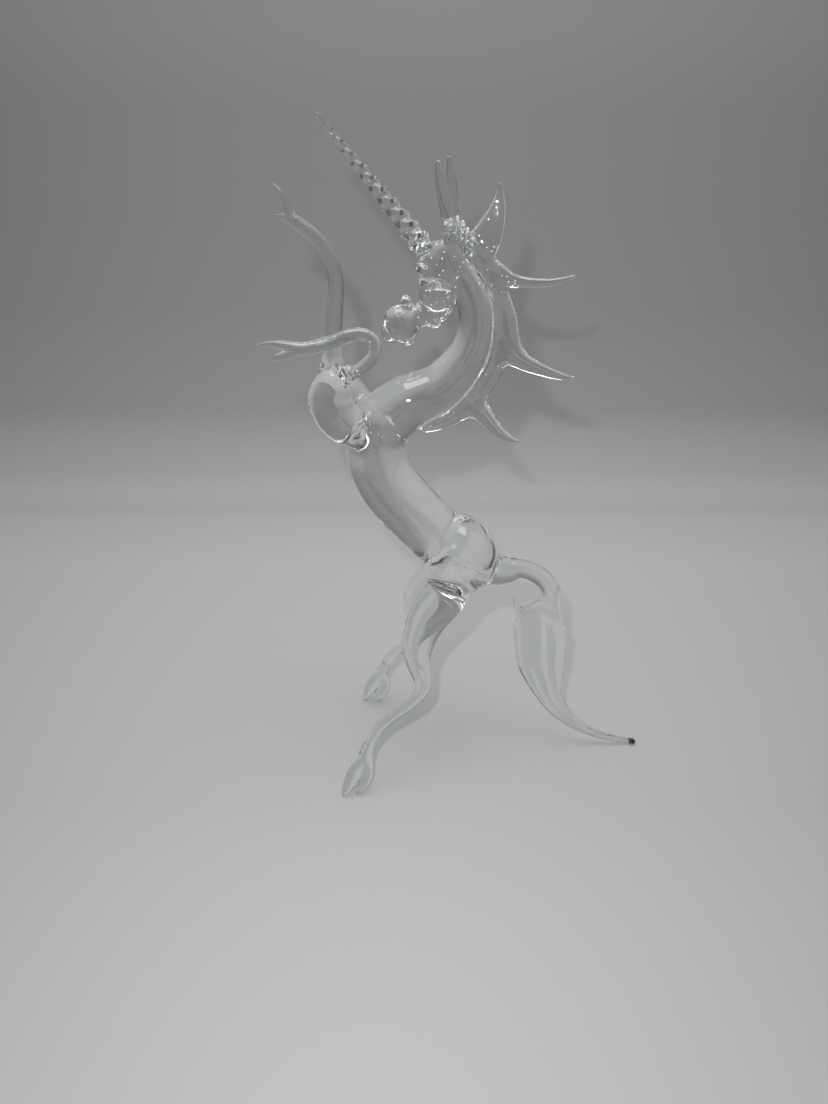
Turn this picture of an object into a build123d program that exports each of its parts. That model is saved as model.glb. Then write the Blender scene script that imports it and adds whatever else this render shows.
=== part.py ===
from build123d import *
from math import cos, radians, sin
import os

# A rearing unicorn of solid clear glass, worked at a lamp. Millimetres, +Z up, the face towards -X and
# the animal's left side towards -Y. Each gather of glass starts inside the one that carries it and is
# cut to that one's surface, so that neighbours meet face to face along their welds.

# Rump: a ball of glass, over the hind legs
rump_length = 22.6
rump_height = 25.2
rump_lift = 71.2

# Body and neck: one thick rod, bent forward out of the rump, back over the chest and up to the poll
torso_reach = 24.9
torso_rise = 33.4
torso_diameter = 17.5
neck_reach = 27.6
neck_rise = 37.6
chest_diameter = 17.2
neck_top_diameter = 9.4
crest_reach = 8.1
crest_rise = 15.3
poll_diameter = 8.0
torso_spine_shares = ((0.0, 0.0, 0.0), (0.29, 0.0, 0.20), (0.56, 0.0, 0.41),
                      (0.83, 0.0, 0.66), (0.97, 0.0, 0.86), (1.0, 0.0, 1.0))
neck_spine_shares = ((0.02, 0.0, 0.14), (0.12, 0.0, 0.25), (0.32, 0.0, 0.37), (0.50, 0.0, 0.43),
                     (0.66, 0.0, 0.49), (0.80, 0.0, 0.59), (0.92, 0.0, 0.71), (0.99, 0.0, 0.85),
                     (1.0, 0.0, 1.0))
neck_taper_shares = (0.01, 0.03, 0.22, 0.40, 0.53, 0.64, 0.78, 0.91, 1.0)
crest_spine_shares = ((0.12, 0.0, 0.28), (0.40, 0.0, 0.56), (0.73, 0.0, 0.78), (1.0, 0.0, 1.0))
crest_taper_shares = (0.2, 0.5, 0.8, 1.0)

# Head: an egg of a skull under the poll, with the muzzle drawn forward out of its lower end
head_reach = 3.4
head_drop = 17.0
head_depth = 11.0
head_width = 8.8
head_spine_shares = ((-0.91, 0.0, -0.14), (-0.18, 0.0, 0.01), (0.35, 0.0, 0.21), (0.59, 0.0, 0.44),
                     (0.71, 0.0, 0.66), (0.82, 0.0, 0.84), (1.0, 0.0, 1.0))
head_depth_shares = (0.56, 0.95, 1.0, 0.96, 0.87, 0.69, 0.45)
head_width_shares = (0.65, 1.0, 1.0, 0.95, 0.85, 0.70, 0.45)
muzzle_reach = 14.3
muzzle_drop = 4.7
muzzle_depth = 11.0
muzzle_width = 8.6
muzzle_spine_shares = ((0.0, 0.0, 0.0), (0.23, 0.0, 0.09), (0.37, 0.0, 0.26), (0.53, 0.0, 0.47),
                       (0.685, 0.0, 0.64), (0.84, 0.0, 0.81), (0.95, 0.0, 0.94), (1.0, 0.0, 1.0))
muzzle_depth_shares = (0.50, 0.54, 0.58, 0.84, 1.0, 0.89, 0.55, 0.23)
muzzle_width_shares = (0.55, 0.60, 0.66, 0.88, 1.0, 0.92, 0.62, 0.28)
chin_diameter = 3.8
nostril_diameter = 2.8
nostril_length = 4.0
nostril_spread = 3.4
nostril_lean = -20.0
eye_diameter = 3.4
eye_spread = 6.2
eye_forward_share = 0.88
cheek_diameter = 7.6
cheek_spread = 6.4

# Ears: flattened leaves, the left one leaning further forward
ear_height = 23.0
ear_width = 3.4
ear_thickness = 1.9
ear_root_spread = 4.4
ear_tip_spread = 13.0
left_ear_lean = 3.8
left_ear_set_back = 0.8
right_ear_lean = 1.2
right_ear_set_back = 1.6
ear_spine_shares = ((0.0, 0.0, 0.0), (0.16, 0.42, 0.37), (0.5, 0.65, 0.59), (0.8, 0.88, 0.80),
                    (1.0, 1.0, 1.0))
ear_width_shares = (0.8, 0.95, 1.0, 0.85, 0.3)

# Horn: two strands twisted into a tapering rope, with a smooth point
horn_length = 46.0
horn_lean = 49.3
horn_set_forward = 1.5
horn_set_up = 1.7
horn_base_diameter = 6.5
horn_tip_diameter = 0.8
horn_groove_share = 0.32
horn_strands = 2
horn_turns = 5
horn_sections_per_turn = 10
horn_points_per_section = 12
horn_twisted_share = 0.80

# Forelock: a crest between the ears, combed into ribs
forelock_length = 8.6
forelock_height = 9.9
forelock_thickness = 5.4
forelock_rib_diameter = 2.2
forelock_set_back = 0.2
forelock_top_shares = (0.92, 0.98, 1.0, 0.90, 0.74, 0.55)
rib_spine_shares = (0.0, 0.45, 0.8, 1.0)
rib_width_shares = (1.0, 1.0, 0.85, 0.45)

# Mane: a flattened strip on the back of the neck, with four pulled locks
strip_width = 11.0
strip_thickness = 2.8
strip_width_shares = (0.55, 0.75, 0.9, 1.0, 1.0, 0.95, 0.92, 0.88, 0.8, 0.72)
lock_thickness = 2.3
lock_tip_diameter = 0.9
lock_widths = (8.8, 8.8, 13.0, 11.2)
lock_reaches = (7.3, 28.5, 23.0, 17.0)
lock_rises = (18.9, -3.5, -16.7, -13.1)
lock_curve_shares = (
    ((0.0, 0.0, 0.0), (0.32, 0.0, 0.14), (0.78, 0.0, 0.47), (0.99, 0.0, 0.76), (1.0, 0.0, 1.0)),
    ((0.0, 0.0, 0.0), (0.21, 0.0, 0.77), (0.43, 0.0, 1.43), (0.66, 0.0, 1.57), (0.85, 0.0, 1.43),
     (1.0, 0.0, 1.0)),
    ((0.0, 0.0, 0.0), (0.15, 0.0, 0.46), (0.36, 0.0, 0.72), (0.64, 0.0, 0.89), (0.85, 0.0, 0.98),
     (1.0, 0.0, 1.0)),
    ((0.0, 0.0, 0.0), (0.31, 0.0, 0.28), (0.53, 0.0, 0.62), (0.78, 0.0, 0.89), (1.0, 0.0, 1.0)))
lock_width_shares = (
    (0.9, 1.0, 0.74, 0.28, 0.0),
    (1.0, 0.76, 0.32, 0.19, 0.11, 0.0),
    (1.0, 0.70, 0.33, 0.20, 0.08, 0.0),
    (1.0, 0.47, 0.30, 0.14, 0.0))

# Shoulders: clubs of glass that swell forward and out from the chest
shoulder_rise = 4.5
shoulder_root_spread = 4.0
shoulder_root_diameter = 8.5
shoulder_diameter = 12.4
left_shoulder_reach = 12.1
left_shoulder_spread = 9.0
left_shoulder_rise = 19.7
left_elbow_diameter = 6.3
left_shoulder_spine_shares = ((0.0, 0.0, 0.0), (0.46, 0.5, 0.17), (0.88, 0.78, 0.41), (1.0, 0.89, 0.65),
                              (0.93, 0.94, 0.83), (0.77, 1.0, 1.0))
left_shoulder_swell_shares = (0.0, 0.55, 0.9, 1.0)
left_elbow_taper_shares = (0.30, 1.0)
right_shoulder_reach = 13.0
right_shoulder_spread = 8.0
right_shoulder_rise = 20.9
right_elbow_diameter = 5.6
right_shoulder_spine_shares = ((0.0, 0.0, 0.0), (0.3, 0.6, 0.22), (0.68, 0.93, 0.43), (0.97, 1.0, 0.72),
                               (1.0, 1.0, 1.0))
right_shoulder_swell_shares = (0.0, 0.9, 1.0)
right_elbow_taper_shares = (0.62, 1.0)

# Left foreleg: bent back to the knee and then forward; right foreleg: raised and curled forward
forearm_reach = 9.4
forearm_spread = 1.8
forearm_rise = 10.0
forearm_diameter = 4.0
knee_diameter = 3.2
forearm_spine_shares = ((-0.12, -0.1, -0.16), (0.0, 0.0, 0.0), (0.37, 0.28, 0.07), (0.77, 0.55, 0.31),
                        (1.0, 0.83, 0.69), (0.9, 1.0, 1.0))
forearm_taper_shares = (0.0, 0.1, 0.3, 0.5, 0.9, 1.0)
fore_cannon_reach = 18.8
fore_cannon_spread = 1.2
fore_cannon_drop = 2.6
fore_cannon_diameter = 3.7
fore_cannon_spine_shares = ((0.17, 0.15, -0.38), (0.36, 0.35, -0.12), (0.59, 0.6, 0.46),
                            (0.84, 1.0, 0.88), (1.0, 1.0, 1.0))
fore_cannon_taper_shares = (0.5, 1.0, 1.0, 0.8, 0.3)
raised_leg_reach = 9.6
raised_leg_rise = 37.0
raised_leg_diameter = 4.9
raised_fetlock_diameter = 3.6
raised_leg_spine_shares = ((0.0, 0.0, -0.12), (0.01, 0.0, 0.08), (-0.06, 0.0, 0.31), (-0.15, 0.0, 0.48),
                           (-0.14, 0.0, 0.64), (0.08, 0.0, 0.78), (0.375, 0.0, 0.88),
                           (0.73, 0.0, 0.955), (1.0, 0.0, 1.0))
raised_leg_taper_shares = (0.0, 0.0, 0.05, 0.3, 0.5, 0.55, 0.6, 0.75, 1.0)

# Fore hooves: flattened ends cut into two toes
fore_hoof_width = 3.4
fore_toe_diameter = 2.7
fore_toe_tip_diameter = 0.7
upper_toe_taper_shares = (0.35, 0.0, 0.45, 1.0)
lower_toe_taper_shares = (0.5, 0.1, 0.45, 1.0)
left_upper_toe = (10.7, 0.8)
left_lower_toe = (7.1, -2.8)
right_upper_toe = (5.3, 9.0)
right_lower_toe = (4.9, 0.9)
upper_toe_curve_shares = ((0.0, 0.0, 0.0), (0.3, 0.0, 0.5), (0.66, 0.0, 0.85), (1.0, 0.0, 1.0))
lower_toe_curve_shares = ((0.08, 0.0, 0.06), (0.36, 0.0, 0.40), (0.70, 0.0, 0.72), (1.0, 0.0, 1.0))

# Hind legs: thigh drawn down to the hock, shin swept forward, and a cloven hoof on the floor
hip_set_forward = 1.0
hip_drop = 4.2
hip_spread = 7.0
hip_diameter = 9.0
thigh_diameter = 13.4
hock_diameter = 4.8
hind_cannon_diameter = 3.4
thigh_reach = 10.3
thigh_spread = 13.5
thigh_spine_shares = ((0.0, 0.0, 0.0), (0.29, 0.26, 0.15), (0.86, 0.48, 0.38), (1.14, 0.71, 0.62),
                      (1.11, 0.85, 0.81), (1.0, 1.0, 1.0))
thigh_taper_shares = (0.0, 0.14, 0.36, 0.70, 1.0)
left_shin_reach = 17.5
right_shin_reach = 13.8
shin_spread = 6.0
shin_drop = 20.3
shin_spine_shares = ((0.17, 0.15, 0.26), (0.49, 0.42, 0.44), (0.79, 0.67, 0.66), (1.0, 1.0, 1.0))
shin_taper_shares = (0.65, 0.95, 1.0, 1.0)
hind_hoof_height = 15.0
hind_hoof_reach = 6.8
hind_hoof_spread = 2.8
hind_hoof_width = 5.0
hind_toe_diameter = 4.6
hind_toe_tip_diameter = 1.6
front_toe_curve_shares = ((0.0, 0.0, 0.0), (0.25, 0.20, 0.22), (0.62, 0.57, 0.56), (1.0, 1.0, 1.0))
rear_toe_curve_shares = ((0.08, 0.06, 0.08), (0.02, 0.15, 0.25), (0.05, 0.35, 0.55), (0.48, 0.75, 1.0))
front_toe_taper_shares = (0.4, 0.1, 0.0, 1.0)
rear_toe_taper_shares = (0.6, 0.15, 0.05, 0.5)

# Tail: a rod that arches back from the rump into a flattened plume, down to a bead on the floor
tail_set_back = 6.0
tail_drop = 2.6
tail_rod_reach = 23.4
tail_rod_drop = 19.1
tail_rod_diameter = 5.6
tail_rod_end_diameter = 3.4
tail_rod_spine_shares = ((0.0, 0.0, 0.0), (0.34, 0.0, 0.06), (0.54, 0.0, 0.10), (0.74, 0.0, 0.20),
                         (0.90, 0.0, 0.35), (0.98, 0.0, 0.57), (1.0, 0.0, 0.80), (1.0, 0.0, 1.0))
tail_rod_taper_shares = (0.0, 0.0, 0.0, 0.0, 0.05, 0.15, 0.4, 1.0)
plume_set_forward = 3.0
plume_set_up = 4.3
plume_reach = 33.7
plume_width = 16.8
plume_thickness = 4.2
plume_tip_diameter = 1.7
plume_spine_shares = ((0.0, 0.0, 0.0), (-0.006, 0.0, 0.03), (-0.01, 0.0, 0.075), (-0.006, 0.0, 0.14),
                      (0.0, 0.0, 0.24), (0.024, 0.0, 0.38), (0.08, 0.0, 0.525), (0.15, 0.0, 0.655),
                      (0.285, 0.0, 0.775), (0.485, 0.0, 0.885), (0.725, 0.0, 0.96), (1.0, 0.0, 1.0))
plume_width_shares = (0.35, 0.78, 0.96, 1.0, 0.99, 0.92, 0.67, 0.42, 0.245, 0.13, 0.05, 0.0)
plume_thickness_shares = (0.3, 0.8, 1.0, 1.0, 1.0, 0.9, 0.8, 0.65, 0.5, 0.35, 0.2, 0.0)
barb_reach = 2.2
barb_rise = 10.0
barb_width = 4.6
barb_spine_shares = ((0.0, 0.0, 0.0), (0.5, 0.0, 0.4), (0.85, 0.0, 0.75), (1.0, 0.0, 1.0))
barb_taper_shares = (0.0, 0.25, 0.7, 1.0)
tail_bead_diameter = 2.6

# Depth of the flat that the tail's bead was melted to where it touches the floor
sole_melt = 0.25

# Sections laid out from each station of a spine to the next, and how far a cut runs past its piece
sections_per_station = 2
overrun = 5.0

os.makedirs("parts", exist_ok=True)


def route(start, reach, spread, rise, shares):
    """Points of a spine: shares of its reach along X, its spread along Y and its rise along Z."""
    return [start + Vector(reach * x, spread * y, rise * z) for x, y, z in shares]


def taper(first, last, shares):
    """Sizes that go from the first to the last by the given shares."""
    return [first + (last - first) * share for share in shares]


def scaled(size, shares):
    """A size at each station of a spine."""
    return [size * share for share in shares]


def in_between(sizes, share):
    """A size from a row of them, at a share of the way from each one to the next."""
    first = int(share)
    if first == len(sizes) - 1:
        return sizes[first]
    return sizes[first] + (sizes[first + 1] - sizes[first]) * (share - first)


def drawn_glass(points, depths, widths=None):
    """Glass drawn out along a spine: round, or depths in the side view and widths across it."""
    with BuildLine() as line:
        Spline(*points)
    spine = line.edge()
    reaches = [spine.param_at_point(point) for point in points]
    with BuildPart() as gather:
        for step in range((len(points) - 1) * sections_per_station + 1):
            station = step / sections_per_station
            reach = in_between(reaches, station)
            section = Plane(spine.position_at(reach), x_dir=(0, 1, 0), z_dir=spine.tangent_at(reach))
            with BuildSketch(section):
                Ellipse(in_between(widths or depths, station) / 2, in_between(depths, station) / 2)
        loft()
    return gather.part


def twisted_glass(points, diameters, turns):
    """A straight tapering rope of strands; each section is turned by its share of the twist."""
    axis = points[-1] - points[0]
    with BuildPart() as gather:
        for point, diameter, turn in zip(points, diameters, turns):
            with BuildSketch(Plane(point, x_dir=(0, 1, 0), z_dir=axis)):
                with BuildLine():
                    rim = []
                    for i in range(horn_points_per_section):
                        angle = 360 * i / horn_points_per_section
                        dip = (1 - cos(radians(horn_strands * (angle - 360 * turn)))) / 2
                        radius = diameter / 2 * (1 - horn_groove_share * dip)
                        rim.append((radius * cos(radians(angle)), radius * sin(radians(angle))))
                    Spline(*rim, periodic=True)
                make_face()
        loft(ruled=True)
    return gather.part


def ball(middle, diameter, outward):
    """A melted ball of glass, with a pole on its free side."""
    with BuildPart() as gather:
        with Locations(Plane(middle, z_dir=outward)):
            Sphere(diameter / 2)
    return gather.part


def bead(middle, diameter, length, lean=0.0):
    """A melted ball, longer or shorter along an axis that leans back from upright, in degrees."""
    upright = Plane(middle, x_dir=(1, 0, 0), z_dir=(0, -1, 0)).rotated((0, 0, -lean))
    with BuildPart() as gather:
        with BuildSketch(upright):
            Ellipse(diameter / 2, length / 2)
            Rectangle(diameter, length, align=(Align.MAX, Align.CENTER), mode=Mode.SUBTRACT)
        revolve(axis=Axis(upright.origin, upright.y_dir))
    return gather.part


def on_the_floor(gather):
    """The gather with what reaches below the floor cut off flat."""
    reach = gather.bounding_box()
    with BuildPart() as standing:
        add(gather)
        with BuildSketch(Plane.XY):
            with Locations((reach.center().X, reach.center().Y)):
                Rectangle(reach.size.X + overrun, reach.size.Y + overrun)
        extrude(amount=-overrun, mode=Mode.SUBTRACT)
    return standing.part


def welded(gather, carriers):
    """The gather cut back to its carriers' surfaces, without the slivers that stay round a weld."""
    with BuildPart() as rest:
        add(gather)
        for carrier in carriers:
            add(pieces[carrier].part, mode=Mode.SUBTRACT)
    return rest.part.solids().sort_by(SortBy.VOLUME)[-1]


pieces = {}
sides = ((-1, "left"), (1, "right"))

# Spines that several pieces share
rump_middle = Vector(0, 0, rump_lift)
torso_spine = route(rump_middle, -torso_reach, 0, torso_rise, torso_spine_shares)
chest = torso_spine[-1]
neck_spine = route(chest, neck_reach, 0, neck_rise, neck_spine_shares)
nape = neck_spine[-1]
crest_spine = route(nape, -crest_reach, 0, crest_rise, crest_spine_shares)
poll = crest_spine[-1]
head_spine = route(poll, -head_reach, 0, -head_drop, head_spine_shares)
neck_diameters = taper(chest_diameter, neck_top_diameter, neck_taper_shares)
crest_diameters = taper(neck_top_diameter, poll_diameter, crest_taper_shares)

# Rump
rump_gather = bead(rump_middle, rump_length, rump_height)
with BuildPart() as rump:
    add(welded(rump_gather, ()))
pieces["rump"] = rump

# Head
head_gather = drawn_glass(head_spine, scaled(head_depth, head_depth_shares),
                          scaled(head_width, head_width_shares))
with BuildPart() as head:
    add(welded(head_gather, ()))
pieces["head"] = head

# Body and neck
body_gather = drawn_glass(torso_spine + neck_spine + crest_spine,
                          [torso_diameter] * len(torso_spine) + neck_diameters + crest_diameters)
with BuildPart() as body_and_neck:
    add(welded(body_gather, ("rump", "head")))
pieces["body_and_neck"] = body_and_neck

# Muzzle and chin
muzzle_spine = route(head_spine[-2], -muzzle_reach, 0, -muzzle_drop, muzzle_spine_shares)
muzzle_depths = scaled(muzzle_depth, muzzle_depth_shares)
muzzle_gather = drawn_glass(muzzle_spine, muzzle_depths, scaled(muzzle_width, muzzle_width_shares))
with BuildPart() as muzzle:
    add(welded(muzzle_gather, ("head",)))
pieces["muzzle"] = muzzle

chin_gather = ball(muzzle_spine[3] - Vector(0, 0, muzzle_depths[3] / 2), chin_diameter, (0, 0, -1))
with BuildPart() as chin:
    add(welded(chin_gather, ("muzzle", "head")))
pieces["chin"] = chin

# Nostrils, eyes and cheeks
for side, hand in sides:
    nostril_middle = muzzle_spine[3] + Vector(0, side * nostril_spread / 2, muzzle_depths[3] / 2)
    nostril_gather = bead(nostril_middle, nostril_diameter, nostril_length, nostril_lean)
    with BuildPart() as nostril:
        add(welded(nostril_gather, ("muzzle",)))
    pieces[f"nostril_{hand}"] = nostril

    eye_middle = head_spine[2] + Vector(-eye_forward_share * head_depth / 2, side * eye_spread / 2, 0)
    eye_gather = ball(eye_middle, eye_diameter, (-head_depth, side * head_width, 0))
    with BuildPart() as eye:
        add(welded(eye_gather, ("head",)))
    pieces[f"eye_{hand}"] = eye

    cheek_middle = (head_spine[3] + head_spine[4]) / 2 + Vector(0, side * cheek_spread / 2, 0)
    cheek_gather = ball(cheek_middle, cheek_diameter, (0, side, 0))
    with BuildPart() as cheek:
        add(welded(cheek_gather, ("head", "body_and_neck")))
    pieces[f"cheek_{hand}"] = cheek

# Horn
horn_root = head_spine[2] + Vector(-horn_set_forward, 0, horn_set_up)
horn_axis = Vector(-cos(radians(horn_lean)), 0, sin(radians(horn_lean)))
horn_sections = horn_turns * horn_sections_per_turn
twist_shares = [i / horn_sections for i in range(horn_sections + 1)]
horn_height_shares = [horn_twisted_share * share for share in twist_shares] + [1.0]
horn_points = [horn_root + horn_axis * horn_length * share for share in horn_height_shares]
horn_gather = twisted_glass(horn_points, taper(horn_base_diameter, horn_tip_diameter, horn_height_shares),
                            [horn_turns * share for share in twist_shares + [1.0]])
with BuildPart() as horn:
    add(welded(horn_gather, ("head",)))
pieces["horn"] = horn

# Forelock
rib_step = (forelock_length - forelock_rib_diameter) / (len(forelock_top_shares) - 1)
rib_gathers = []
for i, top_share in enumerate(forelock_top_shares):
    rib_foot = poll + Vector(forelock_set_back + rib_step * i, 0, 0)
    rib_height = forelock_height * top_share
    rib_gathers.append(drawn_glass([rib_foot + Vector(0, 0, rib_height * s) for s in rib_spine_shares],
                                   scaled(forelock_rib_diameter, rib_width_shares),
                                   scaled(forelock_thickness, rib_width_shares)))
with BuildPart() as ribs:
    for rib_gather in rib_gathers:
        add(rib_gather)
with BuildPart() as forelock:
    add(welded(ribs.part, ("head", "body_and_neck", "horn")))
pieces["forelock"] = forelock

# Ears
ear_leans = ((left_ear_lean, left_ear_set_back), (right_ear_lean, right_ear_set_back))
for (side, hand), (lean, set_back) in zip(sides, ear_leans):
    ear_root = poll + Vector(set_back, side * ear_root_spread / 2, 0)
    ear_spine = route(ear_root, -lean, side * (ear_tip_spread - ear_root_spread) / 2, ear_height,
                      ear_spine_shares)
    ear_gather = drawn_glass(ear_spine, scaled(ear_width, ear_width_shares),
                             scaled(ear_thickness, ear_width_shares))
    with BuildPart() as ear:
        add(welded(ear_gather, ("head", "body_and_neck", "forelock")))
    pieces[f"ear_{hand}"] = ear

# Mane strip, on the outside of the neck's bend
neck_line = neck_spine[2:] + crest_spine[:-1]
neck_line_diameters = neck_diameters[2:] + crest_diameters[:-1]
with BuildLine() as neck_curve:
    Spline(*neck_line)
strip_spine = []
for point, diameter in zip(neck_line, neck_line_diameters):
    outward = neck_curve.edge().tangent_at(point).cross(Vector(0, -1, 0))
    strip_spine.append(point + outward * diameter / 2)
strip_widths = scaled(strip_width, strip_width_shares)
strip_gather = drawn_glass(strip_spine, strip_widths, [strip_thickness] * len(strip_spine))
with BuildPart() as mane_strip:
    add(welded(strip_gather, ("body_and_neck", "head", "forelock")))
pieces["mane_strip"] = mane_strip

# Mane locks, from the highest to the lowest
lock_roots = (strip_spine[-1], strip_spine[-1], strip_spine[-4], (strip_spine[2] + strip_spine[3]) / 2)
lock_carriers = ["mane_strip", "body_and_neck", "head", "forelock"]
for i, lock_root in enumerate(lock_roots):
    lock_spine = route(lock_root, lock_reaches[i], 0, lock_rises[i], lock_curve_shares[i])
    lock_gather = drawn_glass(lock_spine, taper(lock_tip_diameter, lock_widths[i], lock_width_shares[i]),
                              taper(lock_tip_diameter, lock_thickness, lock_width_shares[i]))
    with BuildPart() as lock:
        add(welded(lock_gather, lock_carriers))
    pieces[f"mane_lock_{i + 1}"] = lock
    lock_carriers.append(f"mane_lock_{i + 1}")

# Shoulders
shoulder_root = chest + Vector(0, 0, shoulder_rise)
left_shoulder_spine = route(shoulder_root + Vector(0, -shoulder_root_spread / 2, 0),
                            -left_shoulder_reach, -left_shoulder_spread, left_shoulder_rise,
                            left_shoulder_spine_shares)
left_shoulder_diameters = (taper(shoulder_root_diameter, shoulder_diameter, left_shoulder_swell_shares)
                           + taper(shoulder_diameter, left_elbow_diameter, left_elbow_taper_shares))
right_shoulder_spine = route(shoulder_root + Vector(0, shoulder_root_spread / 2, 0),
                             -right_shoulder_reach, right_shoulder_spread, right_shoulder_rise,
                             right_shoulder_spine_shares)
right_shoulder_diameters = (taper(shoulder_root_diameter, shoulder_diameter, right_shoulder_swell_shares)
                            + taper(shoulder_diameter, right_elbow_diameter, right_elbow_taper_shares))
left_shoulder_gather = drawn_glass(left_shoulder_spine, left_shoulder_diameters)
right_shoulder_gather = drawn_glass(right_shoulder_spine, right_shoulder_diameters)
with BuildPart() as shoulder_left:
    add(welded(left_shoulder_gather, ("body_and_neck",)))
pieces["shoulder_left"] = shoulder_left

with BuildPart() as shoulder_right:
    add(welded(right_shoulder_gather, ("body_and_neck", "shoulder_left")))
pieces["shoulder_right"] = shoulder_right

# Forelegs
left_elbow = left_shoulder_spine[-1]
forearm_spine = route(left_elbow, forearm_reach, -forearm_spread, forearm_rise, forearm_spine_shares)
left_knee = forearm_spine[-1]
fore_cannon_spine = route(left_knee, -fore_cannon_reach, -fore_cannon_spread, -fore_cannon_drop,
                          fore_cannon_spine_shares)
left_foreleg_gather = drawn_glass(forearm_spine + fore_cannon_spine,
                                  taper(forearm_diameter, knee_diameter, forearm_taper_shares)
                                  + taper(knee_diameter, fore_cannon_diameter, fore_cannon_taper_shares))
with BuildPart() as foreleg_left:
    add(welded(left_foreleg_gather, ("shoulder_left",)))
pieces["foreleg_left"] = foreleg_left

raised_leg_spine = route(right_shoulder_spine[-1], -raised_leg_reach, 0, raised_leg_rise,
                         raised_leg_spine_shares)
right_foreleg_gather = drawn_glass(raised_leg_spine, taper(raised_leg_diameter, raised_fetlock_diameter,
                                                           raised_leg_taper_shares))
with BuildPart() as foreleg_right:
    add(welded(right_foreleg_gather, ("shoulder_right",)))
pieces["foreleg_right"] = foreleg_right

# Fore hooves
fore_ends = (("left", fore_cannon_spine, left_upper_toe, left_lower_toe),
             ("right", raised_leg_spine, right_upper_toe, right_lower_toe))
for hand, leg_spine, upper_toe, lower_toe in fore_ends:
    toe_root = leg_spine[-1] + (leg_spine[-2] - leg_spine[-1]).normalized() * fore_toe_diameter / 2
    upper_gather = drawn_glass(route(toe_root, -upper_toe[0], 0, upper_toe[1], upper_toe_curve_shares),
                               taper(fore_toe_diameter, fore_toe_tip_diameter, upper_toe_taper_shares),
                               taper(fore_hoof_width, fore_toe_tip_diameter, upper_toe_taper_shares))
    lower_gather = drawn_glass(route(toe_root, -lower_toe[0], 0, lower_toe[1], lower_toe_curve_shares),
                               taper(fore_toe_diameter, fore_toe_tip_diameter, lower_toe_taper_shares),
                               taper(fore_hoof_width, fore_toe_tip_diameter, lower_toe_taper_shares))
    with BuildPart() as toes:
        add(upper_gather)
        add(lower_gather)
    with BuildPart() as fore_hoof:
        add(welded(toes.part, (f"foreleg_{hand}",)))
    pieces[f"fore_hoof_{hand}"] = fore_hoof

# Hind legs and their hooves
thigh_drop = rump_lift - hip_drop - shin_drop - hind_hoof_height
for (side, hand), shin_reach in zip(sides, (left_shin_reach, right_shin_reach)):
    hip = rump_middle + Vector(-hip_set_forward, side * hip_spread / 2, -hip_drop)
    thigh_spine = route(hip, -thigh_reach, side * thigh_spread, -thigh_drop, thigh_spine_shares)
    shin_spine = route(thigh_spine[-1], -shin_reach, side * shin_spread, -shin_drop, shin_spine_shares)
    leg_gather = drawn_glass(thigh_spine + shin_spine,
                             [hip_diameter] + taper(thigh_diameter, hock_diameter, thigh_taper_shares)
                             + taper(hock_diameter, hind_cannon_diameter, shin_taper_shares))
    leg_carriers = ["rump", "body_and_neck"]
    if "hind_leg_left" in pieces:
        leg_carriers.append("hind_leg_left")
    with BuildPart() as hind_leg:
        add(welded(leg_gather, leg_carriers))
    pieces[f"hind_leg_{hand}"] = hind_leg

    fetlock = shin_spine[-1]
    toe_root = fetlock + (shin_spine[-2] - fetlock).normalized() * hind_cannon_diameter / 2
    toe_drop = toe_root.Z
    toe_gathers = []
    for toe_curve, toe_taper in ((front_toe_curve_shares, front_toe_taper_shares),
                                 (rear_toe_curve_shares, rear_toe_taper_shares)):
        toe_spine = route(toe_root, -hind_hoof_reach, side * hind_hoof_spread, -toe_drop, toe_curve)
        toe_gathers.append(drawn_glass(toe_spine, taper(hind_toe_diameter, hind_toe_tip_diameter, toe_taper),
                                       taper(hind_hoof_width, hind_toe_tip_diameter, toe_taper)))
    with BuildPart() as whole_hoof:
        for toe_gather in toe_gathers:
            add(toe_gather)
    standing_hoof = on_the_floor(whole_hoof.part)
    with BuildPart() as hind_hoof:
        add(welded(standing_hoof, (f"hind_leg_{hand}",)))
    pieces[f"hind_hoof_{hand}"] = hind_hoof

# Tail: the plume carries the end of its rod
tail_root_point = rump_middle + Vector(tail_set_back, 0, -tail_drop)
tail_rod_spine = route(tail_root_point, tail_rod_reach, 0, -tail_rod_drop, tail_rod_spine_shares)
bead_height = tail_bead_diameter / 2 - sole_melt
plume_top = tail_rod_spine[-1] + Vector(-plume_set_forward, 0, plume_set_up)
plume_drop = plume_top.Z - bead_height
plume_spine = route(plume_top, plume_reach, 0, -plume_drop, plume_spine_shares)
plume_gather = drawn_glass(plume_spine, taper(plume_tip_diameter, plume_width, plume_width_shares),
                           taper(plume_tip_diameter, plume_thickness, plume_thickness_shares))
barb_root = plume_spine[3] + Vector(-(plume_width - barb_width) / 2, 0, 0)
barb_gather = drawn_glass(route(barb_root, -barb_reach, 0, barb_rise, barb_spine_shares),
                          taper(barb_width, plume_tip_diameter / 2, barb_taper_shares),
                          taper(plume_thickness / 2, plume_tip_diameter / 2, barb_taper_shares))
with BuildPart() as barbed_plume:
    add(plume_gather)
    add(barb_gather)
with BuildPart() as tail_plume:
    add(welded(barbed_plume.part, ()))
pieces["tail_plume"] = tail_plume

tail_rod_gather = drawn_glass(tail_rod_spine, taper(tail_rod_diameter, tail_rod_end_diameter,
                                                    tail_rod_taper_shares))
with BuildPart() as tail_root:
    add(welded(tail_rod_gather, ("rump", "tail_plume")))
pieces["tail_root"] = tail_root

bead_gather = ball(plume_spine[-1], tail_bead_diameter, (0, 0, 1))
standing_bead = on_the_floor(bead_gather)
with BuildPart() as tail_bead:
    add(welded(standing_bead, ("tail_plume",)))
pieces["tail_bead"] = tail_bead

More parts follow.
